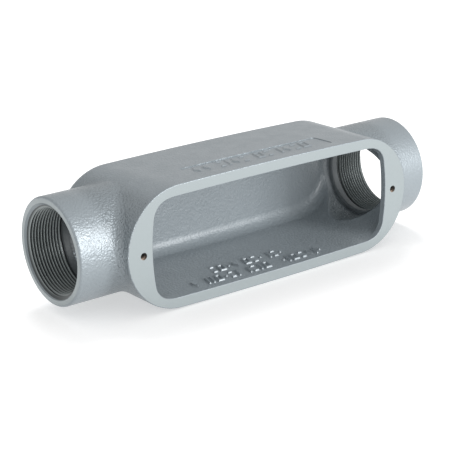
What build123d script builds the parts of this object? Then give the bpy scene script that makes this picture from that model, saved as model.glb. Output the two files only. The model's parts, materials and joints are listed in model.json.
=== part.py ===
from build123d import *
import math
import os

# A straight-through conduit body for 2 inch rigid conduit: one iron casting, open at the front.
# Millimetres. X runs along the conduit, the opening faces -Y and +Z is up.
# Everything is drawn about the conduit axis, halfway between the two hub mouths. The finished
# casting is then moved, so that the origin is at the bottom centre of its bounding box.

# Conduit hubs, bored for 2 inch pipe thread
thread_root_diameter = 60.2
hub_wall = 5.9
hub_length = 28.6
hub_rim_radius = 1.6
mouth_chamfer = 1.7

# Ring that stops the conduit, and the wider throat behind it
stop_height = 1.6
stop_width = 6.0
stop_setback = 0.7
stop_edge_radius = 1.2
throat_relief = 1.4
throat_edge_radius = 2.4

# Body casting, a long slot shape that narrows a little and lengthens a little towards its back
body_length = 238.6
face_rise = 9.2
side_draft = 3.0
side_bow = 0.8
end_flare = 3.0
back_edge_radius = 8.5
face_edge_radius = 0.6
blend_clearance = 0.6

# Cavity, a little wider and deeper than the throats
side_clearance = 3.3
floor_clearance = 0.9
side_wall = 7.5
end_wall = 4.5
back_wall = 5.6
cavity_corner_radius = 9.4

# Opening in the face, and the lands and bosses that carry the cover screws
land_width = 19.1
land_thickness = 4.2
opening_end_radius = 145.0
opening_corner_radius = 13.0
opening_edge_radius = 0.5
screw_inset = 11.95
screw_hole_diameter = 4.8
screw_boss_width = 17.0
screw_boss_clearance = 1.0

# Shallow panel cast into the upper side wall
panel_length = 116.0
panel_width = 20.0
panel_depth = 0.8
panel_setback = 8.5
panel_corner_radius = 2.0

# Sizes that follow from those above
root_radius = thread_root_diameter / 2
hub_radius = root_radius + hub_wall
stop_radius = root_radius - stop_height
throat_radius = root_radius + throat_relief
half_length = body_length / 2 + hub_length
face_offset = hub_radius + face_rise
back_offset = throat_radius + floor_clearance + back_wall
face_y = -face_offset
body_depth = face_offset + back_offset
cavity_length = body_length - 2 * end_wall
cavity_height = 2 * (throat_radius + side_clearance)
cavity_depth = body_depth - back_wall
body_height = cavity_height + 2 * side_wall
hub_blend_radius = face_rise - face_edge_radius - blend_clearance
throat_start = cavity_length / 2 + stop_setback
stop_start = throat_start + stop_width
half_opening = body_length / 2 - land_width
boss_foot_depth = face_offset - throat_radius - screw_boss_clearance


def at_depth(depth):
    """Plane at a depth behind the face, drawn in X and Z, with its normal into the body."""
    return Plane(origin=(0, face_y + depth, 0), x_dir=(-1, 0, 0), z_dir=(0, 1, 0))


def bowed_slot(length, height):
    """Slot outline whose long sides bulge by the side bow and run smoothly into the end arcs."""
    half_height = height / 2
    end_radius = half_height - side_bow
    centre = length / 2 - end_radius
    side_radius = (centre**2 + half_height**2 - end_radius**2) / (2 * side_bow)
    tilt = math.asin(centre / (side_radius - end_radius))
    touch_x = side_radius * math.sin(tilt)
    touch_z = end_radius * math.cos(tilt)
    corners = [(-touch_x, touch_z), (touch_x, touch_z), (touch_x, -touch_z), (-touch_x, -touch_z)]
    middles = [(0, half_height), (length / 2, 0), (0, -half_height), (-length / 2, 0)]
    arcs = [ThreePointArc(corners[i], middles[i], corners[(i + 1) % 4]) for i in range(4)]
    return make_face(arcs)


def opening_outline():
    """The cavity's slot closed by slightly bulging ends with round corners."""
    centre = half_opening - opening_end_radius
    right_end = Pos(centre, 0) * Circle(opening_end_radius)
    left_end = Pos(-centre, 0) * Circle(opening_end_radius)
    outline = bowed_slot(cavity_length, cavity_height) & right_end & left_end
    corners = [v for v in outline.vertices() if is_end_corner(v, centre)]
    return fillet(corners, opening_corner_radius)


def is_end_corner(vertex, centre):
    """True for a corner on one of the opening's two end arcs."""
    return abs(math.hypot(abs(vertex.X) - centre, vertex.Y) - opening_end_radius) < 0.001


def along_conduit(start, end, radius):
    """Cylinder on the conduit axis from one X to another."""
    return Pos((start + end) / 2, 0, 0) * Rot(0, 90, 0) * Cylinder(radius, abs(end - start))


def runs_at_radius(edge, radius):
    """True for an edge whose points all lie at a radius from the conduit axis."""
    points = [edge @ share for share in (0.1, 0.5, 0.9)]
    return all(abs(math.hypot(point.Y, point.Z) - radius) < 0.02 for point in points)


def edges_at_radius(solid, radius, reach):
    """Curved edges at a radius from the conduit axis, no further out along it than the reach."""
    curves = [edge for edge in solid.edges() if edge.geom_type != GeomType.LINE]
    near = [edge for edge in curves if abs((edge @ 0.5).X) < reach]
    return [edge for edge in near if runs_at_radius(edge, radius)]


def outer_body():
    """Drafted slot-shaped block with the two hubs blended into its ends."""
    front = at_depth(0) * bowed_slot(body_length, body_height)
    back = at_depth(body_depth) * bowed_slot(body_length + 2 * end_flare, body_height - 2 * side_draft)
    block = loft([front, back], ruled=True)
    block = fillet(block.edges().group_by(Axis.Y)[-1], back_edge_radius)
    body = block + along_conduit(-half_length, half_length, hub_radius)
    body = fillet(edges_at_radius(body, hub_radius, body_length / 2 + end_flare), hub_blend_radius)
    rims = body.edges().filter_by(GeomType.CIRCLE)
    return fillet(rims.group_by(Axis.X)[0] + rims.group_by(Axis.X)[-1], hub_rim_radius)


def cavity():
    """Space inside the body behind the lands, with a rounded corner round its back."""
    slot = at_depth(0) * bowed_slot(cavity_length, cavity_height)
    space = extrude(slot, cavity_depth)
    space = fillet(space.edges().group_by(Axis.Y)[-1], cavity_corner_radius)
    return space - lands()


def lands():
    """End lands under the face, each with a sloping boss for its cover screw."""
    plate = at_depth(0) * (bowed_slot(body_length, body_height - 2 * side_draft) - opening_outline())
    land = extrude(plate, land_thickness)
    bosses = Part()
    for side in (-1, 1):
        boss = make_face(Polyline(
            (side * half_opening, face_y),
            (side * half_opening, face_y + land_thickness),
            (side * cavity_length / 2, face_y + boss_foot_depth),
            (side * body_length / 2, face_y + boss_foot_depth),
            (side * body_length / 2, face_y),
            close=True,
        ))
        bosses += extrude(boss, screw_boss_width / 2, both=True)
    return land + bosses


def bore(side):
    """One hub's bore from its mouth: chamfer, thread root, conduit stop and throat."""
    mouth = side * half_length
    inner_end = side * cavity_length / 4
    passage = along_conduit(mouth - side * mouth_chamfer, side * stop_start, root_radius)
    passage += along_conduit(mouth, inner_end, stop_radius)
    passage += along_conduit(side * throat_start, inner_end, throat_radius)
    cone = Cone(root_radius, root_radius + mouth_chamfer, mouth_chamfer)
    passage += Pos(mouth - side * mouth_chamfer / 2, 0, 0) * Rot(0, side * 90, 0) * cone
    return passage


def screw_hole(side):
    """Tapped hole for a cover screw, through the land and its boss."""
    depth = boss_foot_depth
    place = Pos(side * (body_length / 2 - screw_inset), face_y + depth / 2, 0) * Rot(90, 0, 0)
    return place * Cylinder(screw_hole_diameter / 2, depth)


def side_panel():
    """Shallow recess in the upper side wall."""
    outline = RectangleRounded(panel_length, panel_width, panel_corner_radius)
    panel_y = face_y + panel_setback + panel_width / 2
    lean = math.degrees(math.atan(side_draft / body_depth))
    height = body_height / 2 - side_draft * (panel_y - face_y) / body_depth - panel_depth
    return Pos(0, panel_y, height) * Rot(-lean, 0, 0) * extrude(outline, 3 * panel_depth)


def soften(casting):
    """Rounds the throats where they open into the cavity, the conduit stops and the face's rims."""
    throats = edges_at_radius(casting, throat_radius, throat_start - stop_setback / 2)
    casting = fillet(throats, throat_edge_radius)
    casting = fillet(edges_at_radius(casting, stop_radius, half_length), stop_edge_radius)
    face = casting.faces().sort_by(Axis.Y)[0]
    casting = fillet(face.outer_wire().edges(), face_edge_radius)
    face = casting.faces().sort_by(Axis.Y)[0]
    opening = face.inner_wires().sort_by(SortBy.LENGTH)[-1]
    return fillet(opening.edges(), opening_edge_radius)


casting = outer_body() - cavity() - side_panel()
for end in (-1, 1):
    casting -= bore(end)
    casting -= screw_hole(end)
conduit_body = Pos(0, (face_offset - back_offset) / 2, body_height / 2) * soften(casting)
conduit_body.label = "conduit_body"

os.makedirs("parts", exist_ok=True)
export_step(conduit_body, "parts/conduit_body.step")
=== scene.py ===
import json
import logging
import math
from dataclasses import dataclass, field
from enum import Enum, IntEnum

import bmesh
import bpy
import numpy as np
from mathutils import Matrix, Vector


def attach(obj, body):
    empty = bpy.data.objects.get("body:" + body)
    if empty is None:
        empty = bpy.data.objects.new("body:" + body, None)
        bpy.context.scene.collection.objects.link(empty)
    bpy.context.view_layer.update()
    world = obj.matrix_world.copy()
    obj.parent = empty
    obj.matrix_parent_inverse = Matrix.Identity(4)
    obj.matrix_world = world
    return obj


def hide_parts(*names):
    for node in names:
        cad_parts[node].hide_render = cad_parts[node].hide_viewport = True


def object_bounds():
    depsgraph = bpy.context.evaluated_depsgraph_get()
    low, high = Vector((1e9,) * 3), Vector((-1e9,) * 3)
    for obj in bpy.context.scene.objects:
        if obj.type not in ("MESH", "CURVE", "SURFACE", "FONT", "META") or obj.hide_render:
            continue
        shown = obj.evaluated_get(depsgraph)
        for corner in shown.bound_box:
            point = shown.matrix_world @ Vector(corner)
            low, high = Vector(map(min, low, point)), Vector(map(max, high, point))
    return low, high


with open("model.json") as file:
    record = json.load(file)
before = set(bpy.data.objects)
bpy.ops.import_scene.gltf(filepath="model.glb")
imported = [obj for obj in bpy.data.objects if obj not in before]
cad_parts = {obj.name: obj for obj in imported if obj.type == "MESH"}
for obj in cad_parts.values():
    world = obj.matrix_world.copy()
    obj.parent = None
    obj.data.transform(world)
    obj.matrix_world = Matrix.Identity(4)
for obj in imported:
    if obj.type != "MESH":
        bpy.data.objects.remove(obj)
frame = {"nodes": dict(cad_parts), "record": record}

# Painted iron conduit body for 2 inch conduit, dressed round its packed casting.
# Sizes are in millimetres in the casting's frame, and become metres where a mesh or a material is
# made. X runs along the conduit, the opening faces -Y and +Z is up. Lights and camera are in metres.

CAD_BOX = [list(corner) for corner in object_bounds()]
MM = 0.001

# Driving sizes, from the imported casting's box and its mounts
MOUNTS = {mount["name"]: mount for mount in frame["record"]["mounts"]}
HALF_LENGTH = CAD_BOX[1][0] / MM
FACE_Y = CAD_BOX[0][1] / MM
BODY_DEPTH = (CAD_BOX[1][1] - CAD_BOX[0][1]) / MM
AXIS_Y = MOUNTS["left_hub"]["pos_m"][1] / MM
AXIS_Z = MOUNTS["left_hub"]["pos_m"][2] / MM
ROOT_RADIUS = MOUNTS["left_hub"]["dims"]["r_mm"]
SCREW_X = MOUNTS["cover_screws"]["dims"]["spacing_x_mm"] / 2
SCREW_RADIUS = MOUNTS["cover_screws"]["dims"]["hole_r_mm"]

# Chamfer of the mouths, and how far each side wall leans in over the body's depth
MOUTH_CHAMFER = 1.7
SIDE_DRAFT = 3.0

# Pitches of 11.5 and 24 threads to the inch
PIPE_PITCH = 2.2087
SCREW_PITCH = 1.058

# Numbers of a Mix node's colour sockets, which share their names with its other sockets
MIX_FIRST, MIX_SECOND, MIX_RESULT = 6, 7, 2

Point = tuple[float, float, float]
Material = bpy.types.Material
Socket = bpy.types.NodeSocket
report = logging.getLogger("conduit_body")


class Zone(IntEnum):
    """Parts of the casting's surface, in the order of its material slots."""

    OUTSIDE = 0
    FACE = 1
    CAVITY = 2
    THREAD = 3
    SCREW_HOLE = 4
    THROAT = 5
    CHAMFER = 6


class Mark(Enum):
    """Kinds of plain raised mark, each with its width as a share of its row's height."""

    BAR = 0.22
    DOT = 0.26
    DASHES = 0.42
    LOZENGE = 0.52
    FRAME = 0.6


class Lit(Enum):
    """What a light falls on, as a lamp does with flags in front of it."""

    OBJECT = "object"
    FLOOR = "floor"


# Shared helpers


def linear(colour: str) -> tuple[float, float, float, float]:
    """Turns an sRGB hex colour into linear light.

    Args:
        colour: Six hex digits after a hash sign.

    Returns:
        Red, green and blue in linear light, and an alpha of one.
    """
    shares = [int(colour[i:i + 2], 16) / 255 for i in (1, 3, 5)]
    light = [s / 12.92 if s <= 0.04045 else ((s + 0.055) / 1.055) ** 2.4 for s in shares]
    return light[0], light[1], light[2], 1.0


def add_node(
    material: Material,
    kind: str,
    inputs: dict[str | int, object] | None = None,
    **settings: object,
) -> bpy.types.Node:
    """Adds one node to a material, with its settings, values and links.

    Args:
        material: The material that gets the node.
        kind: The node's type name.
        inputs: For each input, a value for it or the output socket that feeds it.
        **settings: Properties of the node itself.

    Returns:
        The new node.
    """
    tree = material.node_tree
    node = tree.nodes.new(kind)
    for name, value in settings.items():
        setattr(node, name, value)
    for name, value in (inputs or {}).items():
        if isinstance(value, Socket):
            tree.links.new(value, node.inputs[name])
        else:
            node.inputs[name].default_value = value
    return node


def new_material(name: str) -> Material:
    """Makes an empty node material that holds only its output node.

    Args:
        name: Name of the material.

    Returns:
        The new material.
    """
    material = bpy.data.materials.new(name)
    material.use_nodes = True
    for node in list(material.node_tree.nodes):
        if node.type != "OUTPUT_MATERIAL":
            material.node_tree.nodes.remove(node)
    return material


def surface_from(material: Material, shader: bpy.types.Node) -> None:
    """Links a shader node to the material's surface.

    Args:
        material: The material.
        shader: The node whose first output is the surface.
    """
    tree = material.node_tree
    output = next(node for node in tree.nodes if node.type == "OUTPUT_MATERIAL")
    tree.links.new(shader.outputs[0], output.inputs["Surface"])


def grid_quads(rows: int, columns: int) -> np.ndarray:
    """Faces of a grid whose columns close on themselves and whose rows don't.

    Args:
        rows: Number of rows of points.
        columns: Number of points in each row.

    Returns:
        One row of four point numbers for each face.
    """
    row, column = np.meshgrid(np.arange(rows - 1), np.arange(columns), indexing="ij")
    start = row * columns
    after = (column + 1) % columns
    quads = [start + column, start + after, start + columns + after, start + columns + column]
    return np.stack(quads, axis=-1).reshape(-1, 4)


def make_piece(name: str, points: np.ndarray, faces: list[list[int]]) -> bpy.types.Object:
    """Puts points in millimetres and their faces into a mesh object at the origin.

    Args:
        name: Name of the piece.
        points: Three coordinates for each point.
        faces: Point numbers of each face.

    Returns:
        The new object, linked to the scene.
    """
    mesh = bpy.data.meshes.new(name)
    mesh.from_pydata((points.reshape(-1, 3) * MM).tolist(), [], faces)
    mesh.validate()
    piece = bpy.data.objects.new(name, mesh)
    bpy.context.scene.collection.objects.link(piece)
    return piece


def shade_softly(piece: bpy.types.Object, crease_degrees: float) -> None:
    """Shades a piece smooth between its creases, with flat parts kept flat by weighted normals.

    Args:
        piece: The mesh object.
        crease_degrees: Edges that turn by more than this stay sharp.
    """
    piece.data.shade_smooth()
    piece.data.set_sharp_from_angle(angle=math.radians(crease_degrees))
    normals = piece.modifiers.new("weighted_normals", "WEIGHTED_NORMAL")
    normals.keep_sharp = True
    normals.weight = 80


def smooth_step(share: np.ndarray) -> np.ndarray:
    """Eases from 0 to 1: three times the square less twice the cube of the clipped share."""
    clipped = np.clip(share, 0.0, 1.0)
    return clipped * clipped * (3.0 - 2.0 * clipped)


def declare(piece: bpy.types.Object) -> None:
    """Lets a new piece ride with the casting, and reports it.

    Args:
        piece: The finished piece.
    """
    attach(piece, "root")
    report.info("%s: %d points, %d faces", piece.name, len(piece.data.vertices), len(piece.data.polygons))


# Finishes


@dataclass(frozen=True)
class AluminiumPaint:
    """Aluminium paint sprayed over iron from a sand mould.

    The eye sees a grey skin whose metal flakes give a broad soft sheen, and a thin clear gloss
    over them. Recesses stay darker than with plain grey paint. The sand grain under the coat
    breaks each highlight into small bright pebbles, and the paint's orange peel ripples the rest.
    In the hollow bends beside the hubs the grain is coarser, and a painted shade darkens them.

    Attributes:
        name: Name of the material.
        colour: Colour of the paint.
        thin_colour: Slightly darker tone where the coat is thinner.
        mottle_width: Width in mm of one patch of thicker or thinner coat.
        flake: Share of the surface that reflects as metal flakes.
        roughness: Middle roughness of the flakes' sheen.
        sheen_swing: How far the roughness swings to each side of that with the mottle.
        gloss: Strength of the clear gloss over the flakes.
        gloss_roughness: Roughness of that gloss.
        grain_left: Height in mm of the sand grain at the left hub.
        grain_right: Height in mm of the sand grain at the right hub, to which it falls evenly.
        grain_width: Width in mm of one pebble of the grain.
        hub_x: Distance in mm of the hubs from the middle.
        peel: Height in mm of the orange peel.
        peel_width: Width in mm of one ripple of the orange peel.
        left_shade_colour: Painted shade towards the left end of the casting, where the cavity and
            throats lie deep in shade: the dark colour that the coat fades to. None for no fade.
        left_shade_from: X in mm where the painted shade begins.
        left_shade_to: X in mm from where on it is complete.
        bend_grain: Height in mm that the sand grain gains in the bends beside the hubs.
        bend_painted_shade: Share of painted shade in the bends: how much of a dark colour is mixed in.
        bend_shade_colour: Colour of that painted shade.
        bend_x: Distance in mm of the bends from the middle.
        bend_core: Distance in mm on each side of that within which a bend counts in full.
        bend_reach: Distance in mm on each side of that beyond which it doesn't count.
    """

    name: str
    colour: str = "#8C9499"
    thin_colour: str = "#8A9297"
    mottle_width: float = 14.0
    flake: float = 0.45
    roughness: float = 0.42
    sheen_swing: float = 0.04
    gloss: float = 0.25
    gloss_roughness: float = 0.2
    grain_left: float = 0.3
    grain_right: float = 0.14
    grain_width: float = 1.25
    hub_x: float = 118.0
    peel: float = 0.012
    peel_width: float = 0.9
    left_shade_colour: str | None = None
    left_shade_from: float = -82.0
    left_shade_to: float = -104.0
    bend_grain: float = 0.0
    bend_painted_shade: float = 0.0
    bend_shade_colour: str = "#3E4648"
    bend_x: float = 112.0
    bend_core: float = 9.0
    bend_reach: float = 17.0

    def material(self) -> Material:
        """Builds the paint's nodes: mottled colour and sheen over grain and orange peel.

        Returns:
            The new material.
        """
        paint = new_material(self.name)
        place = add_node(paint, "ShaderNodeTexCoord").outputs["Object"]
        along = add_node(paint, "ShaderNodeSeparateXYZ", {"Vector": place}).outputs["X"]
        mottle = add_node(
            paint, "ShaderNodeTexNoise",
            {"Vector": place, "Scale": 1 / (self.mottle_width * MM), "Detail": 3.0, "Roughness": 0.55},
        ).outputs["Fac"]
        sheen = add_node(
            paint, "ShaderNodeMapRange",
            {
                "Value": mottle,
                "From Min": 0.35, "From Max": 0.65,
                "To Min": self.roughness + self.sheen_swing,
                "To Max": self.roughness - self.sheen_swing,
            },
        )
        bend = self.bend(paint, along)
        colour = self.coat_colour(paint, mottle, bend)
        clear = self.gloss
        # Painted shade: the colour darkens towards the left end, where the cavity and throats lie deep.
        if self.left_shade_colour is not None:
            colour, clear = self.left_end_shade(paint, along, colour)
        shader = add_node(
            paint, "ShaderNodeBsdfPrincipled",
            {
                "Base Color": colour,
                "Metallic": self.flake,
                "Roughness": sheen.outputs["Result"],
                "Coat Weight": clear,
                "Coat Roughness": self.gloss_roughness,
                "Normal": self.relief(paint, place, along, bend),
            },
        )
        surface_from(paint, shader)
        return paint

    def bend(self, paint: Material, along: Socket) -> Socket:
        """Finds the bends: how near the distance from the middle is to the bends' own.

        Args:
            paint: The material.
            along: Output socket with the place along X.

        Returns:
            Output socket that is 1 in the bends and 0 away from them.
        """
        outward = add_node(paint, "ShaderNodeMath", {0: along}, operation="ABSOLUTE")
        past = add_node(
            paint, "ShaderNodeMath",
            {0: outward.outputs["Value"], 1: self.bend_x * MM}, operation="SUBTRACT",
        )
        away = add_node(paint, "ShaderNodeMath", {0: past.outputs["Value"]}, operation="ABSOLUTE")
        share = add_node(
            paint, "ShaderNodeMapRange",
            {
                "Value": away.outputs["Value"],
                "From Min": self.bend_reach * MM, "From Max": self.bend_core * MM,
            },
        )
        return share.outputs["Result"]

    def coat_colour(self, paint: Material, mottle: Socket, bend: Socket) -> Socket:
        """Mixes the coat's two tones by the mottle, and darkens it in the bends as painted shade.

        Args:
            paint: The material.
            mottle: Output socket with the coat's thickness.
            bend: Output socket that is 1 in the bends.

        Returns:
            Output socket with the colour.
        """
        tone = add_node(
            paint, "ShaderNodeMapRange", {"Value": mottle, "From Min": 0.38, "From Max": 0.62},
        )
        coat = add_node(
            paint, "ShaderNodeMix",
            {
                "Factor": tone.outputs["Result"],
                MIX_FIRST: linear(self.thin_colour), MIX_SECOND: linear(self.colour),
            },
            data_type="RGBA",
        )
        # Painted shade: the bends get a share of a dark colour mixed into the coat.
        shade = add_node(
            paint, "ShaderNodeMath", {0: bend, 1: self.bend_painted_shade}, operation="MULTIPLY",
        )
        shaded = add_node(
            paint, "ShaderNodeMix",
            {
                "Factor": shade.outputs["Value"],
                MIX_FIRST: coat.outputs[MIX_RESULT], MIX_SECOND: linear(self.bend_shade_colour),
            },
            data_type="RGBA",
        )
        return shaded.outputs[MIX_RESULT]

    def left_end_shade(self, paint: Material, along: Socket, colour: Socket) -> tuple[Socket, Socket]:
        """Darkens the coat's colour towards the left end as painted shade, and fades its gloss there.

        Args:
            paint: The material.
            along: Output socket with the place along X.
            colour: Output socket with the full coat's colour.

        Returns:
            Output sockets with the colour darkened by painted shade, and with the faded strength of the
            gloss.
        """
        left_shade = add_node(
            paint, "ShaderNodeMapRange",
            {"Value": along, "From Min": self.left_shade_from * MM, "From Max": self.left_shade_to * MM},
        ).outputs["Result"]
        clear = add_node(
            paint, "ShaderNodeMath", {0: left_shade, 1: -self.gloss, 2: self.gloss}, operation="MULTIPLY_ADD",
        )
        faded = add_node(
            paint, "ShaderNodeMix",
            {"Factor": left_shade, MIX_FIRST: colour, MIX_SECOND: linear(self.left_shade_colour)},
            data_type="RGBA",
        )
        return faded.outputs[MIX_RESULT], clear.outputs["Value"]

    def relief(self, paint: Material, place: Socket, along: Socket, bend: Socket) -> Socket:
        """Adds the sand grain, and the orange peel over it.

        The grain is a low noise, of 0.6 lumps to a pebble's width, less the distance from
        scattered points, which makes rounded pebbles. Its height falls evenly from the left hub
        to the right one, and gains in the bends.

        Args:
            paint: The material.
            place: Output socket with the object coordinates.
            along: Output socket with the place along X.
            bend: Output socket that is 1 in the bends.

        Returns:
            Output socket with the normal.
        """
        cells = add_node(
            paint, "ShaderNodeTexVoronoi",
            {"Vector": place, "Scale": 1 / (self.grain_width * MM), "Smoothness": 0.8, "Randomness": 1.0},
            feature="SMOOTH_F1",
        )
        lumps = add_node(
            paint, "ShaderNodeTexNoise",
            {"Vector": place, "Scale": 0.6 / (self.grain_width * MM), "Detail": 2.0, "Roughness": 0.5},
        )
        pebbles = add_node(
            paint, "ShaderNodeMath",
            {0: lumps.outputs["Fac"], 1: cells.outputs["Distance"]}, operation="SUBTRACT",
        )
        height = add_node(
            paint, "ShaderNodeMapRange",
            {
                "Value": along,
                "From Min": -self.hub_x * MM, "From Max": self.hub_x * MM,
                "To Min": self.grain_left * MM, "To Max": self.grain_right * MM,
            },
        )
        gained = add_node(
            paint, "ShaderNodeMath",
            {0: bend, 1: self.bend_grain * MM, 2: height.outputs["Result"]}, operation="MULTIPLY_ADD",
        )
        grain = add_node(
            paint, "ShaderNodeBump",
            {"Height": pebbles.outputs["Value"], "Distance": gained.outputs["Value"]},
        )
        ripple = add_node(
            paint, "ShaderNodeTexNoise",
            {"Vector": place, "Scale": 1 / (self.peel_width * MM), "Detail": 1.0},
        )
        peel = add_node(
            paint, "ShaderNodeBump",
            {
                "Height": ripple.outputs["Fac"], "Distance": self.peel * MM,
                "Normal": grain.outputs["Normal"],
            },
        )
        return peel.outputs["Normal"]


@dataclass(frozen=True)
class CutThread:
    """Iron thread cut by a tap and thinly painted over.

    The eye sees pale grey crests between dark grooves, and the grooves' dark colour is painted
    shade.

    Attributes:
        name: Name of the material.
        crest_colour: Colour of the ridges' crests.
        groove_shade_colour: Dark colour of the grooves between the crests, painted shade.
        crest_radius: Distance in mm of the crests from the axis.
        groove_radius: Distance in mm of the darkest part of the grooves from the axis.
        roughness: Roughness of the cut.
        metallic: Share of bare metal that shows.
        scratch_width: Width in mm of the tap's scratches.
        scratch_depth: Depth in mm of the scratches.
    """

    name: str = "thinly_painted_cut_thread"
    crest_colour: str = "#8E9595"
    groove_shade_colour: str = "#3C4142"
    crest_radius: float = ROOT_RADIUS - 1.5
    groove_radius: float = ROOT_RADIUS - 0.4
    roughness: float = 0.34
    metallic: float = 0.3
    scratch_width: float = 0.8
    scratch_depth: float = 0.02

    def material(self) -> Material:
        """Builds the thread's nodes: painted shade in the grooves by distance from the axis, and fine
        scratches.

        Returns:
            The new material.
        """
        cut = new_material(self.name)
        place = add_node(cut, "ShaderNodeTexCoord").outputs["Object"]
        scratches = add_node(
            cut, "ShaderNodeTexNoise",
            {"Vector": place, "Scale": 1 / (self.scratch_width * MM), "Detail": 2.0},
        )
        bump = add_node(
            cut, "ShaderNodeBump",
            {"Height": scratches.outputs["Fac"], "Distance": self.scratch_depth * MM},
        )
        spoke = add_node(
            cut, "ShaderNodeVectorMath",
            {0: place, 1: (0.0, 1.0, 1.0), 2: (0.0, -AXIS_Y * MM, -AXIS_Z * MM)},
            operation="MULTIPLY_ADD",
        )
        radius = add_node(cut, "ShaderNodeVectorMath", {0: spoke.outputs["Vector"]}, operation="LENGTH")
        # Painted shade: the colour darkens from the crests down into the grooves.
        depth = add_node(
            cut, "ShaderNodeMapRange",
            {
                "Value": radius.outputs["Value"],
                "From Min": self.crest_radius * MM, "From Max": self.groove_radius * MM,
            },
        )
        colour = add_node(
            cut, "ShaderNodeMix",
            {
                "Factor": depth.outputs["Result"],
                MIX_FIRST: linear(self.crest_colour), MIX_SECOND: linear(self.groove_shade_colour),
            },
            data_type="RGBA",
        )
        shader = add_node(
            cut, "ShaderNodeBsdfPrincipled",
            {
                "Base Color": colour.outputs[MIX_RESULT],
                "Metallic": self.metallic,
                "Roughness": self.roughness,
                "Normal": bump.outputs["Normal"],
            },
        )
        surface_from(cut, shader)
        return cut


@dataclass(frozen=True)
class RustyHole:
    """Small tapped hole in bare iron that has begun to rust.

    The eye sees a dark hole with a pale brown lower lip, because paint doesn't reach into it.

    Attributes:
        name: Name of the material.
        metal: Colour of the clean iron.
        rust: Colour of the rust.
        patch_width: Width in mm of one patch of rust.
        rust_from: Distance in mm below the hole's middle at which the rust begins.
        rust_to: Distance in mm below the hole's middle at which it is complete.
        roughness: Roughness of the iron.
    """

    name: str = "bare_iron_with_light_rust"
    metal: str = "#3A3735"
    rust: str = "#A08D7E"
    patch_width: float = 1.6
    rust_from: float = 0.4
    rust_to: float = 2.2
    roughness: float = 0.7

    def material(self) -> Material:
        """Builds the hole's nodes: patches of rust over bare iron, mostly on the lower side.

        Returns:
            The new material.
        """
        hole = new_material(self.name)
        place = add_node(hole, "ShaderNodeTexCoord").outputs["Object"]
        patches = add_node(
            hole, "ShaderNodeTexNoise",
            {"Vector": place, "Scale": 1 / (self.patch_width * MM), "Detail": 3.0},
        )
        spread = add_node(
            hole, "ShaderNodeMapRange",
            {"Value": patches.outputs["Fac"], "From Min": 0.3, "From Max": 0.5},
        )
        height = add_node(hole, "ShaderNodeSeparateXYZ", {"Vector": place}).outputs["Z"]
        lower = add_node(
            hole, "ShaderNodeMapRange",
            {
                "Value": height,
                "From Min": (AXIS_Z - self.rust_from) * MM, "From Max": (AXIS_Z - self.rust_to) * MM,
            },
        )
        rusted = add_node(
            hole, "ShaderNodeMath",
            {0: spread.outputs["Result"], 1: lower.outputs["Result"]}, operation="MULTIPLY",
        )
        colour = add_node(
            hole, "ShaderNodeMix",
            {
                "Factor": rusted.outputs["Value"],
                MIX_FIRST: linear(self.metal), MIX_SECOND: linear(self.rust),
            },
            data_type="RGBA",
        )
        shader = add_node(
            hole, "ShaderNodeBsdfPrincipled",
            {"Base Color": colour.outputs[MIX_RESULT], "Roughness": self.roughness},
        )
        surface_from(hole, shader)
        return hole


@dataclass
class Finishes:
    """All of the object's materials, made once and shared by its pieces."""

    outside: Material = field(init=False)
    face: Material = field(init=False)
    cavity: Material = field(init=False)
    thread: Material = field(init=False)
    screw_hole: Material = field(init=False)
    throat: Material = field(init=False)
    chamfer: Material = field(init=False)
    marks: Material = field(init=False)

    def __post_init__(self) -> None:
        """Makes the materials."""
        # The outside's bends beside the hubs are darkened as painted shade.
        self.outside = AluminiumPaint(
            "aluminium_paint_on_sand_cast_iron", bend_grain=0.34, bend_painted_shade=0.17,
        ).material()
        self.face = AluminiumPaint(
            "aluminium_paint_on_ground_face", colour="#929A9C", thin_colour="#90989A",
            grain_left=0.004, grain_right=0.004,
        ).material()
        # The cavity's colour darkens towards its left end as painted shade.
        self.cavity = AluminiumPaint(
            "dry_aluminium_overspray_in_cavity", colour="#868E93", thin_colour="#848C91",
            left_shade_colour="#464B4E", flake=0.12, roughness=0.46, gloss=0.36, gloss_roughness=0.18,
            grain_left=0.27, grain_right=0.22, grain_width=1.5,
        ).material()
        # The throats' darker colour is painted shade deep in the bores, and it darkens further towards the
        # left end.
        self.throat = AluminiumPaint(
            "throat_paint_with_painted_shade", colour="#6A7073", thin_colour="#646A6D",
            left_shade_colour="#3E4345", flake=0.15, roughness=0.5, gloss=0.2,
            grain_left=0.08, grain_right=0.08,
        ).material()
        self.chamfer = AluminiumPaint(
            "thin_paint_on_cut_chamfer", colour="#7C8488", thin_colour="#767E82",
            grain_left=0.02, grain_right=0.02,
        ).material()
        self.marks = AluminiumPaint(
            "aluminium_paint_on_raised_marks", gloss=0.9, gloss_roughness=0.1,
            grain_left=0.02, grain_right=0.02,
        ).material()
        self.thread = CutThread().material()
        self.screw_hole = RustyHole().material()

    def in_order(self) -> list[Material]:
        """Lists the casting's materials in the order of its zones.

        Returns:
            One material for each zone.
        """
        by_zone = {
            Zone.OUTSIDE: self.outside,
            Zone.FACE: self.face,
            Zone.CAVITY: self.cavity,
            Zone.THREAD: self.thread,
            Zone.SCREW_HOLE: self.screw_hole,
            Zone.THROAT: self.throat,
            Zone.CHAMFER: self.chamfer,
        }
        return [by_zone[zone] for zone in Zone]


# Pieces


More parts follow.
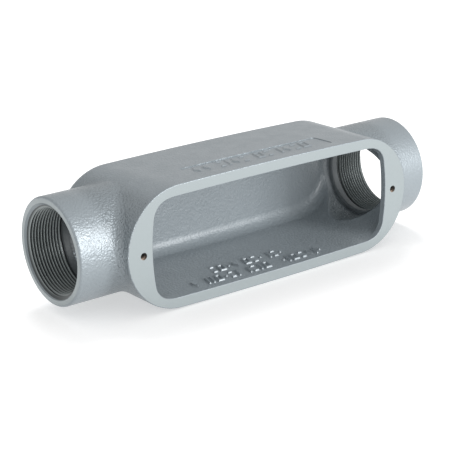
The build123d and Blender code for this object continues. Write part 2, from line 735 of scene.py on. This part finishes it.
@dataclass
class Casting:
    """The one-piece casting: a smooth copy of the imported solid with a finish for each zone.

    Attributes:
        thread_reach: Distance from the conduit axis that takes in the thread's wall.
        throat_reach: Distance from the conduit axis that takes in the throats.
        stop_start: Distance of the stop rings from the middle, where the threads end.
        throat_start: Distance from the middle of the throats' inner ends.
        mouth: Distance from the middle past which each mouth's chamfer and flat ring lie.
        mouth_flat: Outer radius of the flat ring round each mouth.
        slot_centre: Distance from the middle of the centres of the cavity's end arcs.
        cavity_reach: Furthest that the cavity's wall lies from its slot's centre line.
        cavity_end: Distance from the middle that takes in the cavity's end walls.
        cavity_back: Y of the cavity's back wall, with a little to spare.
        screw_reach: Radius of the screw holes, with a little to spare.
        screw_back: Y that takes in the screw holes' inner ends.
        screw_steep: Share of a unit normal along Y under which a face there is the hole's wall.
        flat: Least share of a unit normal along an axis on a ground flat.
        tolerance: Distance behind the cover face within which a flat counts as part of it.
        weld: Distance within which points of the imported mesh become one.
    """

    thread_reach: float = ROOT_RADIUS + 0.3
    throat_reach: float = ROOT_RADIUS + 2.9
    stop_start: float = HALF_LENGTH - 26.4
    throat_start: float = HALF_LENGTH - 32.7
    mouth: float = HALF_LENGTH - 1.6
    mouth_flat: float = ROOT_RADIUS + 4.4
    slot_centre: float = 80.8
    cavity_reach: float = 36.6
    cavity_end: float = 118.0
    cavity_back: float = 36.3
    screw_reach: float = SCREW_RADIUS + 0.1
    screw_back: float = FACE_Y + 13.1
    screw_steep: float = 0.9
    flat: float = 0.99
    tolerance: float = 0.05
    weld: float = 0.002

    def zones(self, centres: np.ndarray, normals: np.ndarray) -> np.ndarray:
        """Sorts faces into zones by where they lie and which way they face.

        The cavity is what lies within the slot's reach of its centre line. The throats and stops
        lie near the axis beyond the cavity, and the thread nearer to it beyond the stops. Past the
        mouths, what leans is chamfer. The ground flats are the cover face and each mouth's ring.

        Args:
            centres: Centre of each face in millimetres.
            normals: Unit normal of each face.

        Returns:
            The zone number of each face.
        """
        x, y, z = np.abs(centres[:, 0]), centres[:, 1], centres[:, 2] - AXIS_Z
        endwise, frontwise = np.abs(normals[:, 0]), -normals[:, 1]
        from_slot = np.hypot(np.maximum(x - self.slot_centre, 0.0), z)
        from_axis = np.hypot(y - AXIS_Y, z)
        from_screw = np.hypot(x - SCREW_X, z)
        in_bore = x < self.mouth
        at_mouth = (from_axis < self.mouth_flat) & (x > self.mouth)
        in_slot = (from_slot < self.cavity_reach) & (x < self.cavity_end)
        in_screw_hole = (from_screw < self.screw_reach) & (y < self.screw_back)
        zone = np.full(len(centres), Zone.OUTSIDE, dtype=np.int32)
        zone[in_slot & (y < self.cavity_back)] = Zone.CAVITY
        zone[(from_axis < self.throat_reach) & (x > self.throat_start) & in_bore] = Zone.THROAT
        zone[(from_axis < self.thread_reach) & (x > self.stop_start) & in_bore] = Zone.THREAD
        zone[at_mouth] = Zone.CHAMFER
        zone[at_mouth & (endwise > self.flat)] = Zone.FACE
        zone[(frontwise > self.flat) & (y < FACE_Y + self.tolerance)] = Zone.FACE
        zone[in_screw_hole & (np.abs(frontwise) < self.screw_steep)] = Zone.SCREW_HOLE
        return zone

    def build(self, finishes: Finishes) -> bpy.types.Object:
        """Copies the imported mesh, merges its loose triangles, and dresses each zone.

        Args:
            finishes: The object's materials.

        Returns:
            The dressed casting.
        """
        skin = bpy.data.objects.new("casting_skin", frame["nodes"]["conduit_body"].data.copy())
        bpy.context.scene.collection.objects.link(skin)
        merged = bmesh.new()
        merged.from_mesh(skin.data)
        bmesh.ops.remove_doubles(merged, verts=merged.verts, dist=self.weld * MM)
        merged.to_mesh(skin.data)
        merged.free()
        packed_normals = skin.data.attributes.get("custom_normal")
        if packed_normals is not None:
            skin.data.attributes.remove(packed_normals)
        shade_softly(skin, crease_degrees=28.0)
        skin.data.materials.clear()
        for material in finishes.in_order():
            skin.data.materials.append(material)
        count = len(skin.data.polygons)
        centres = np.empty(count * 3)
        normals = np.empty(count * 3)
        skin.data.polygons.foreach_get("center", centres)
        skin.data.polygons.foreach_get("normal", normals)
        zone = self.zones(centres.reshape(-1, 3) / MM, normals.reshape(-1, 3))
        skin.data.polygons.foreach_set("material_index", zone)
        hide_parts("conduit_body")
        declare(skin)
        return skin


@dataclass
class InternalThread:
    """Ridge of a right-hand internal thread, sunk a little into the wall that carries it.

    Attributes:
        name: Name of the piece.
        mouth: Centre of the hole's mouth.
        inward: Unit direction into the hole.
        root_radius: Radius of the wall between the ridges.
        mouth_radius: Radius of the mouth, from which a chamfer of 45 degrees cuts the ridges.
        pitch: Advance in one turn.
        height: Height of the ridge above the wall.
        first: Distance from the mouth where the ridge starts to rise.
        last: Distance from the mouth where it has sunk again.
        steps: Number of steps in one turn.
        rise: Turns over which the ridge rises or sinks at its ends.
        flank_degrees: Angle between a flank and a plane across the axis.
        crest_share: Radius of the round crest as a share of the pitch.
        sunk: Depth of the ridge's foot inside the wall.
        hidden: Depth of the crest inside the wall at the ridge's two ends.
        trace: Height of what the chamfer leaves of the first ridges.
        trace_from: Distance from the mouth where that trace begins.
        trace_rise: Distance over which it reaches its height.
        flush: Depth under the chamfer of the ridge before the trace begins.
    """

    name: str
    mouth: Point
    inward: Point
    root_radius: float
    mouth_radius: float
    pitch: float
    height: float
    first: float
    last: float
    steps: int
    rise: float = 0.4
    flank_degrees: float = 30.0
    crest_share: float = 0.11
    sunk: float = 0.35
    hidden: float = 0.1
    trace: float = 0.9
    trace_from: float = 0.3
    trace_rise: float = 0.5
    flush: float = 0.03

    def section(self) -> np.ndarray:
        """Outline of the ridge: a foot in the wall, two leaning flanks and a round crest.

        Returns:
            Distance along the axis and height above the wall, for each point of the outline.
        """
        flank = math.radians(self.flank_degrees)
        crest = self.crest_share * self.pitch
        centre = self.height - crest
        turn = np.linspace(math.pi - flank, flank, 5)
        round_crest = np.stack([crest * np.cos(turn), centre + crest * np.sin(turn)], axis=1)
        edge = crest * math.cos(flank)
        fall = centre + crest * math.sin(flank) + self.sunk
        foot = edge + fall * math.tan(flank)
        return np.vstack([[-foot, -self.sunk], round_crest, [foot, -self.sunk]])

    def points(self) -> np.ndarray:
        """Carries the ridge's section along a helix.

        A step's angle grows evenly, and its distance from the mouth grows by one pitch a turn.
        The radius is the wall's less the section's height, and the section sinks into the wall
        by an eased amount over the first and last part of a turn. On the chamfer, whose radius is
        the mouth's less the distance from the mouth, no point stands out by more than the trace.

        Returns:
            Array of steps by section points by three coordinates.
        """
        turns = (self.last - self.first) / self.pitch
        turn = np.linspace(0.0, turns, int(turns * self.steps) + 1)[:, None]
        level = smooth_step(turn / self.rise) * smooth_step((turns - turn) / self.rise)
        across = self.section()
        drop = (1.0 - level) * (self.height + self.hidden)
        radius = self.root_radius - across[None, :, 1] + drop
        depth = self.first + turn * self.pitch + across[None, :, 0]
        trace = self.trace * smooth_step((depth - self.trace_from) / self.trace_rise) - self.flush
        radius = np.maximum(radius, self.mouth_radius - depth - trace)
        angle = 2.0 * math.pi * turn
        axis = np.array(self.inward)
        side = np.cross(axis, (0.0, 0.0, 1.0) if abs(axis[2]) < 0.9 else (1.0, 0.0, 0.0))
        side = side / np.linalg.norm(side)
        up = np.cross(axis, side)
        spoke = np.cos(angle)[..., None] * side + np.sin(angle)[..., None] * up
        return np.array(self.mouth) + depth[..., None] * axis + radius[..., None] * spoke

    def build(self, finish: Material) -> bpy.types.Object:
        """Makes the closed ridge and dresses it.

        Args:
            finish: The thread's material.

        Returns:
            The dressed ridge.
        """
        points = self.points()
        rows, columns = points.shape[:2]
        faces = grid_quads(rows, columns).tolist()
        end = (rows - 1) * columns
        faces.append(list(range(columns))[::-1])
        faces.append(list(range(end, end + columns)))
        ridge = make_piece(self.name, points, faces)
        ridge.data.materials.append(finish)
        shade_softly(ridge, crease_degrees=50.0)
        declare(ridge)
        return ridge


@dataclass
class RaisedRow:
    """Row of plain raised marks cast on a wall: slanted bars, dashes, dots, lozenges and frames.

    It is one closed slab whose top follows the wall a hair below it, so that only the marks
    stand out.

    Attributes:
        name: Name of the piece.
        start: X and Y of the row's left end.
        end: X and Y of the row's right end.
        groups: For each group of marks, its distance from the row's start and its marks.
        tall: Size of a mark across the row.
        stroke: Width of a drawn line.
        slant: Lean of a mark along the row for each millimetre across it.
        gap: Space between two marks as a share of their size across the row.
        edge: Width over which a mark rises to its full height.
        height: Height of a mark above the wall.
        wall_z: Z of the wall at the origin.
        lean: Rise of the wall for each millimetre of Y.
        bow_radius: Radius along X of the wall's bow, which rises away from the middle.
        cell: Size of one cell of the grid.
        sunk: Depth of the slab's top under the wall between the marks.
        thickness: Thickness of the slab.
    """

    name: str
    start: tuple[float, float]
    end: tuple[float, float]
    groups: list[tuple[float, list[Mark]]]
    tall: float = 10.2
    stroke: float = 2.2
    slant: float = 0.25
    gap: float = 0.15
    edge: float = 0.85
    height: float = 1.25
    wall_z: float = 7.5
    lean: float = 0.0
    bow_radius: float = 4115.0
    cell: float = 0.3
    sunk: float = 0.12
    thickness: float = 1.5

    def inside(self, mark: Mark, along: np.ndarray, across: np.ndarray) -> np.ndarray:
        """Distance from each place to a mark's outline, positive inside it.

        A bar is a slanted strip, dashes are two strips along the row, a dot is a disc, and a
        frame is the border of a leaning rectangle. A lozenge is where the shares of its two half
        sizes add up to less than one.

        Args:
            mark: Kind of mark.
            along: Distance along the row from the mark's middle.
            across: Distance across the row from the mark's middle.

        Returns:
            The distance in millimetres.
        """
        reach, half = mark.value * self.tall / 2, self.tall / 2
        slanted = along - self.slant * across
        if mark is Mark.BAR:
            return np.minimum(reach - np.abs(slanted), half - np.abs(across))
        if mark is Mark.DASHES:
            strip = self.stroke / 2 - np.abs(np.abs(across) - (half - self.stroke / 2))
            return np.minimum(strip, reach - np.abs(slanted))
        if mark is Mark.DOT:
            return reach - np.hypot(along, across)
        if mark is Mark.FRAME:
            depth = np.minimum(reach - np.abs(slanted), half - np.abs(across))
            return self.stroke / 2 - np.abs(depth - self.stroke / 2)
        edge_on = reach * half / math.hypot(reach, half)
        return (1.0 - np.abs(along) / reach - np.abs(across) / half) * edge_on

    def relief(self, along: np.ndarray, across: np.ndarray) -> np.ndarray:
        """Share of the full height at each place: the tallest mark's, eased over its edge.

        Args:
            along: Distance along the row from its start.
            across: Distance across the row from its middle line.

        Returns:
            A share from 0 to 1 for each place.
        """
        total = np.zeros_like(along)
        for offset, marks in self.groups:
            for mark in marks:
                width = mark.value * self.tall
                inside = self.inside(mark, along - offset - width / 2, across)
                total = np.maximum(total, smooth_step(inside / self.edge))
                offset += width + self.gap * self.tall
        return total

    def build(self, finish: Material) -> bpy.types.Object:
        """Makes the slab: a grid on the wall's own surface, closed by a flat bottom.

        The wall's height is its height at the origin, plus its lean times Y, plus the square of X
        over twice the bow's radius.

        Args:
            finish: The wall's material.

        Returns:
            The dressed slab.
        """
        start, end = np.array(self.start), np.array(self.end)
        length = float(np.linalg.norm(end - start))
        ahead = (end - start) / length
        aside = np.array([-ahead[1], ahead[0]])
        margin = 2 * self.cell
        reach = self.tall / 2 + margin
        along, across = np.meshgrid(
            np.linspace(-margin, length + margin, int(length / self.cell) + 4),
            np.linspace(-reach, reach, int(2 * reach / self.cell) + 1),
            indexing="ij",
        )
        place = start + along[..., None] * ahead + across[..., None] * aside
        wall = self.wall_z + self.lean * place[..., 1] + place[..., 0] ** 2 / (2 * self.bow_radius)
        top = wall - self.sunk + (self.height + self.sunk) * self.relief(along, across)
        upper = np.dstack([place, top]).reshape(-1, 3)
        number = np.arange(len(upper)).reshape(along.shape)
        corners = number[:-1, :-1], number[1:, :-1], number[1:, 1:], number[:-1, 1:]
        faces = np.stack(corners, axis=-1).reshape(-1, 4).tolist()
        rim = np.concatenate([number[:-1, 0], number[-1, :-1], number[:0:-1, -1], number[0, :0:-1]])
        lower = upper[rim]
        lower[:, 2] = wall.min() - self.thickness
        foot = len(upper) + np.arange(len(rim))
        faces += np.stack([rim, foot, np.roll(foot, -1), np.roll(rim, -1)], axis=-1).tolist()
        faces.append(foot[::-1].tolist())
        piece = make_piece(self.name, np.concatenate([upper, lower]), faces)
        piece.data.materials.append(finish)
        shade_softly(piece, crease_degrees=60.0)
        declare(piece)
        return piece


def hub_threads() -> list[InternalThread]:
    """Sizes the two hubs' 2 inch pipe threads.

    Returns:
        The left thread and the right one.
    """
    sizes = dict(
        root_radius=ROOT_RADIUS, mouth_radius=ROOT_RADIUS + MOUTH_CHAMFER, pitch=PIPE_PITCH,
        height=1.6, first=1.3, last=26.2, steps=120,
    )
    return [
        InternalThread(
            "left_hub_thread", mouth=(-HALF_LENGTH, AXIS_Y, AXIS_Z), inward=(1.0, 0.0, 0.0), **sizes,
        ),
        InternalThread(
            "right_hub_thread", mouth=(HALF_LENGTH, AXIS_Y, AXIS_Z), inward=(-1.0, 0.0, 0.0), **sizes,
        ),
    ]


def screw_threads() -> list[InternalThread]:
    """Sizes the threads of the two cover screw holes.

    Returns:
        The left thread and the right one.
    """
    sizes = dict(
        root_radius=SCREW_RADIUS, mouth_radius=SCREW_RADIUS, pitch=SCREW_PITCH,
        height=0.42, first=0.9, last=7.2, steps=36, sunk=0.12, trace=0.0,
    )
    return [
        InternalThread(
            "left_screw_thread", mouth=(-SCREW_X, FACE_Y, AXIS_Z), inward=(0.0, 1.0, 0.0), **sizes,
        ),
        InternalThread(
            "right_screw_thread", mouth=(SCREW_X, FACE_Y, AXIS_Z), inward=(0.0, 1.0, 0.0), **sizes,
        ),
    ]


def floor_rows() -> list[RaisedRow]:
    """Lays out the two rows of marks on the cavity's lower wall.

    Returns:
        The back row and the front one.
    """
    bar, dot, dashes, lozenge, border = Mark.BAR, Mark.DOT, Mark.DASHES, Mark.LOZENGE, Mark.FRAME
    back = [
        (0.5, [dashes, border, dot, lozenge]),
        (27.5, [border, dashes, dot]),
        (48.5, [bar, dashes, dot]),
    ]
    front = [
        (0.5, [lozenge]),
        (12.5, [bar, bar, border, dot, dashes, bar]),
        (47.0, [bar, dashes, bar, border]),
        (77.0, [dot, bar, border, dashes, lozenge, bar, dot]),
    ]
    return [
        RaisedRow("floor_marks_back", start=(-36.0, -15.6), end=(29.5, -17.4), groups=back),
        RaisedRow("floor_marks_front", start=(-63.0, -30.0), end=(58.0, -31.6), groups=front),
    ]


def panel_row() -> RaisedRow:
    """Lays out the row of marks in the shallow panel on the upper side.

    The panel leans with the side wall's draft. Its height is known at its middle.

    Returns:
        The row.
    """
    bar, dashes, lozenge, border = Mark.BAR, Mark.DASHES, Mark.LOZENGE, Mark.FRAME
    groups = [
        (0.5, [lozenge, lozenge]),
        (21.0, [dashes, bar, lozenge, dashes]),
        (52.0, [border, dashes]),
        (72.0, [bar, lozenge, dashes, border]),
    ]
    lean = -SIDE_DRAFT / BODY_DEPTH
    panel_y, panel_z = -23.1, 83.13
    return RaisedRow(
        "panel_marks", start=(-54.0, -22.0), end=(54.0, -22.8), groups=groups,
        tall=12.0, height=0.72, edge=0.9,
        wall_z=panel_z - lean * panel_y, lean=lean, bow_radius=math.inf,
    )


# Studio


@dataclass
class SoftBox:
    """A large soft light.

    Attributes:
        name: Name of the light.
        place: Centre of the light in metres.
        target: Point that it faces, in metres.
        width: Width in metres.
        height: Height in metres.
        watts: Power.
        lit: What it falls on.
    """

    name: str
    place: Point
    target: Point
    width: float
    height: float
    watts: float
    lit: Lit = Lit.OBJECT

    def build(self, receivers: list[bpy.types.Object]) -> None:
        """Adds the light to the scene.

        Args:
            receivers: Objects that it lights.
        """
        light = bpy.data.lights.new(self.name, "AREA")
        light.shape = "RECTANGLE"
        light.size = self.width
        light.size_y = self.height
        light.energy = self.watts
        lamp = bpy.data.objects.new(self.name, light)
        bpy.context.scene.collection.objects.link(lamp)
        reached = bpy.data.collections.new(self.name + "_receivers")
        for receiver in receivers:
            reached.objects.link(receiver)
        lamp.light_linking.receiver_collection = reached
        lamp.location = self.place
        lamp.rotation_euler = (Vector(self.target) - Vector(self.place)).to_track_quat("-Z", "Y").to_euler()


@dataclass
class Studio:
    """White floor, soft lights and the camera at the photograph's viewing angle.

    Attributes:
        azimuth: Camera azimuth in degrees.
        elevation: Camera elevation in degrees.
        roll: Camera roll in degrees.
        eye: Camera place in metres.
        lens: Focal length in mm for the sensor's width.
        sensor: Width of the sensor in mm.
        floor_reach: Half the width of the floor in metres.
        floor_glow: Light that the floor gives off by itself.
        floor_colour: Colour of the floor.
        sky: Strength of the even light all round.
        boxes: The lights: two on the object, and one from behind that casts the floor's shadow.
    """

    azimuth: float = -37.68
    elevation: float = 18.86
    roll: float = -0.97
    eye: Point = (-0.5947, -0.7559, 0.3571)
    lens: float = 117.8
    sensor: float = 36.0
    floor_reach: float = 40.0
    floor_glow: float = 0.47
    floor_colour: str = "#DCDCDC"
    sky: float = 0.77
    boxes: list[SoftBox] = field(default_factory=lambda: [
        SoftBox(
            "front_box", place=(0.15, -1.64, 0.42), target=(0.0, 0.0, 0.04),
            width=1.1, height=0.5, watts=15.5,
        ),
        SoftBox(
            "key_box", place=(0.72, -1.37, 0.76), target=(0.0, 0.0, 0.04),
            width=0.6, height=1.2, watts=17.0,
        ),
        SoftBox(
            "floor_box", place=(0.4, 0.7, 1.3), target=(0.0, 0.0, 0.0),
            width=0.7, height=0.7, watts=13.0, lit=Lit.FLOOR,
        ),
    ])

    def build_floor(self) -> bpy.types.Object:
        """Lays the white floor, part lit and part glowing, so that shadows on it stay weak.

        Returns:
            The floor.
        """
        reach = self.floor_reach / MM
        corners = np.array([(-reach, -reach, 0), (reach, -reach, 0), (reach, reach, 0), (-reach, reach, 0)])
        floor = make_piece("studio_floor", corners, [[0, 1, 2, 3]])
        card = new_material("matt_white_card")
        lit = add_node(card, "ShaderNodeBsdfDiffuse", {"Color": linear(self.floor_colour)})
        glow = add_node(card, "ShaderNodeEmission", {"Strength": self.floor_glow})
        both = add_node(card, "ShaderNodeAddShader", {0: lit.outputs[0], 1: glow.outputs[0]})
        surface_from(card, both)
        floor.data.materials.append(card)
        return floor

    def build_air(self) -> None:
        """Adds the even light all round."""
        world = bpy.data.worlds.new("studio_air")
        world.use_nodes = True
        background = world.node_tree.nodes["Background"]
        background.inputs["Color"].default_value = (1.0, 1.0, 1.0, 1.0)
        background.inputs["Strength"].default_value = self.sky
        bpy.context.scene.world = world
        bpy.context.scene.view_settings.view_transform = "Standard"

    def build_camera(self) -> None:
        """Places the camera: its back vector from azimuth and elevation, then rolled about it."""
        turn, rise, roll = map(math.radians, (self.azimuth, self.elevation, self.roll))
        back = Vector((math.sin(turn) * math.cos(rise), -math.cos(turn) * math.cos(rise), math.sin(rise)))
        level = Vector((math.cos(turn), math.sin(turn), 0))
        upright = back.cross(level)
        right = math.cos(roll) * level + math.sin(roll) * upright
        top = math.cos(roll) * upright - math.sin(roll) * level
        pose = Matrix((right, top, back)).transposed().to_4x4()
        pose.translation = self.eye
        lens = bpy.data.cameras.new("camera")
        lens.sensor_width = self.sensor
        lens.lens = self.lens
        camera = bpy.data.objects.new("camera", lens)
        bpy.context.scene.collection.objects.link(camera)
        camera.matrix_world = pose
        bpy.context.scene.camera = camera

    def build(self) -> None:
        """Sets up the floor, the lights, the even light all round and the camera."""
        pieces = [piece for piece in bpy.context.scene.objects if piece.type == "MESH"]
        receivers = {Lit.OBJECT: pieces, Lit.FLOOR: [self.build_floor()]}
        for box in self.boxes:
            box.build(receivers[box.lit])
        self.build_air()
        self.build_camera()


def main() -> None:
    """Builds the pieces and the studio in order, and reports each piece."""
    logging.basicConfig(level=logging.INFO, format="%(name)s: %(message)s")
    finishes = Finishes()
    Casting().build(finishes)
    for thread in hub_threads():
        thread.build(finishes.thread)
    for thread in screw_threads():
        thread.build(finishes.screw_hole)
    for row in floor_rows():
        row.build(finishes.marks)
    panel_row().build(finishes.outside)
    Studio().build()


if __name__ == "__main__":
    main()
